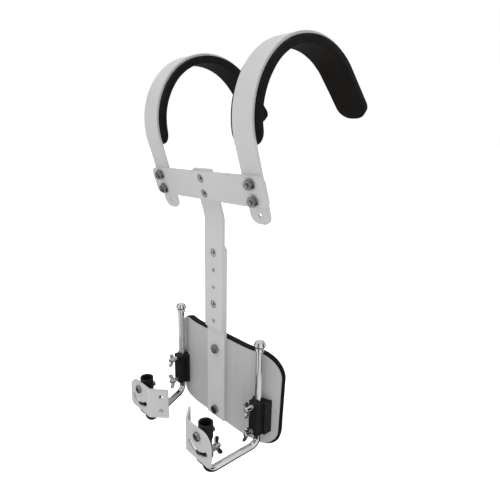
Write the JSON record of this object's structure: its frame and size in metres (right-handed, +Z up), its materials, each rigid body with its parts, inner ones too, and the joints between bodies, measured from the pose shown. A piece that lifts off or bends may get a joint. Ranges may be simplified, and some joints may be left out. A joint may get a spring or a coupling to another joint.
{
  "type": "marching drum carrier",
  "caption": "Worn drum carrier: padded shoulder arches on a crossbar, chest bar, padded belly plate and swivelling J-rods with drum brackets.",
  "frame": {"origin": "centre of the flat part of the belly pad's rear face, where the carrier bears on the wearer", "axes": "+X to the wearer's left, +Y back towards the wearer, +Z up"},
  "size_m": [0.2262, 0.2743, 0.5473],
  "materials": {
    "bar_paint": "satin white paint on aluminium",
    "plate_paint": "satin light grey paint on aluminium",
    "bracket_paint": "satin white paint on steel",
    "foam": "closed-cell foam with a smooth skin",
    "block_plastic": "moulded, fine grain",
    "chrome": "bright plating",
    "fasteners": "zinc plated",
    "washers": "zinc plated",
    "band_steel": "zinc plated"
  },
  "bodies": {
    "carrier": {"belly_plate": "plate_paint", "belly_pad": "foam", "rear_bar": "bar_paint", "plate_bolts": "fasteners", "plate_nuts": "fasteners", "chest_bar": "bar_paint", "chest_bolts": "fasteners", "chest_nuts": "fasteners", "crossbar": "bar_paint", "crossbar_screws": "fasteners", "crossbar_nuts": "fasteners", "strap_bolts": "fasteners", "strap_washers": "washers", "strap_nuts": "fasteners", "block_screws": "fasteners", "shoulder_strap_left": "bar_paint", "shoulder_pad_left": "foam", "clamp_block_left": "block_plastic", "shoulder_strap_right": "bar_paint", "shoulder_pad_right": "foam", "clamp_block_right": "block_plastic"},
    "knob_left": {"rod_knob_left": "chrome"},
    "rod_left": {"j_rod_left": "chrome"},
    "bracket_left": {"sleeve_left": "block_plastic", "sleeve_band_left": "band_steel", "set_screw_left": "fasteners", "pivot_bolt_left": "fasteners", "tilt_pin_left": "fasteners"},
    "drum_plate_left": {"drum_plate_left": "bracket_paint"},
    "clamp_wing_upper_left": {"clamp_wing_upper_left": "chrome"},
    "clamp_wing_lower_left": {"clamp_wing_lower_left": "chrome"},
    "sleeve_wing_left": {"sleeve_wing_left": "chrome"},
    "knob_right": {"rod_knob_right": "chrome"},
    "rod_right": {"j_rod_right": "chrome"},
    "bracket_right": {"sleeve_right": "block_plastic", "sleeve_band_right": "band_steel", "set_screw_right": "fasteners", "pivot_bolt_right": "fasteners", "tilt_pin_right": "fasteners"},
    "drum_plate_right": {"drum_plate_right": "bracket_paint"},
    "clamp_wing_upper_right": {"clamp_wing_upper_right": "chrome"},
    "clamp_wing_lower_right": {"clamp_wing_lower_right": "chrome"},
    "sleeve_wing_right": {"sleeve_wing_right": "chrome"}
  },
  "joints": [
    {"name": "rod_height_left", "type": "slide", "parent": "carrier", "child": "knob_left", "axis": [0, 0, 1], "range_m": [-0.07, 0.006]},
    {"name": "rod_swivel_left", "type": "hinge", "parent": "knob_left", "child": "rod_left", "pos_m": [0.088, -0.016, 0], "axis": [0, 0, 1], "range_deg": [-6, 45]},
    {"name": "bracket_swivel_left", "type": "hinge", "parent": "rod_left", "child": "bracket_left", "pos_m": [0.07137, -0.09425, 0], "axis": [0, 0, 1], "range_deg": [-50, 50]},
    {"name": "plate_tilt_left", "type": "hinge", "parent": "bracket_left", "child": "drum_plate_left", "pos_m": [0.07137, -0.10605, -0.0175], "axis": [0, 1, 0], "range_deg": [-20, 38]},
    {"name": "clamp_wing_upper_turn_left", "type": "hinge", "parent": "carrier", "child": "clamp_wing_upper_left", "pos_m": [0.088, -0.03, -0.001], "axis": [0, -1, 0], "continuous": true},
    {"name": "clamp_wing_lower_turn_left", "type": "hinge", "parent": "carrier", "child": "clamp_wing_lower_left", "pos_m": [0.088, -0.03, -0.039], "axis": [0, -1, 0], "continuous": true},
    {"name": "sleeve_wing_turn_left", "type": "hinge", "parent": "bracket_left", "child": "sleeve_wing_left", "pos_m": [0.07137, -0.07925, -0.048], "axis": [0, 1, 0], "continuous": true},
    {"name": "rod_height_right", "type": "slide", "parent": "carrier", "child": "knob_right", "axis": [0, 0, 1], "range_m": [-0.07, 0.006]},
    {"name": "rod_swivel_right", "type": "hinge", "parent": "knob_right", "child": "rod_right", "pos_m": [-0.088, -0.016, 0], "axis": [0, 0, -1], "range_deg": [-6, 45]},
    {"name": "bracket_swivel_right", "type": "hinge", "parent": "rod_right", "child": "bracket_right", "pos_m": [-0.07137, -0.09425, 0], "axis": [0, 0, -1], "range_deg": [-50, 50]},
    {"name": "plate_tilt_right", "type": "hinge", "parent": "bracket_right", "child": "drum_plate_right", "pos_m": [-0.07137, -0.10605, -0.0175], "axis": [0, -1, 0], "range_deg": [-20, 38]},
    {"name": "clamp_wing_upper_turn_right", "type": "hinge", "parent": "carrier", "child": "clamp_wing_upper_right", "pos_m": [-0.088, -0.03, -0.001], "axis": [0, -1, 0], "continuous": true},
    {"name": "clamp_wing_lower_turn_right", "type": "hinge", "parent": "carrier", "child": "clamp_wing_lower_right", "pos_m": [-0.088, -0.03, -0.039], "axis": [0, -1, 0], "continuous": true},
    {"name": "sleeve_wing_turn_right", "type": "hinge", "parent": "bracket_right", "child": "sleeve_wing_right", "pos_m": [-0.07137, -0.07925, -0.048], "axis": [0, 1, 0], "continuous": true}
  ]
}
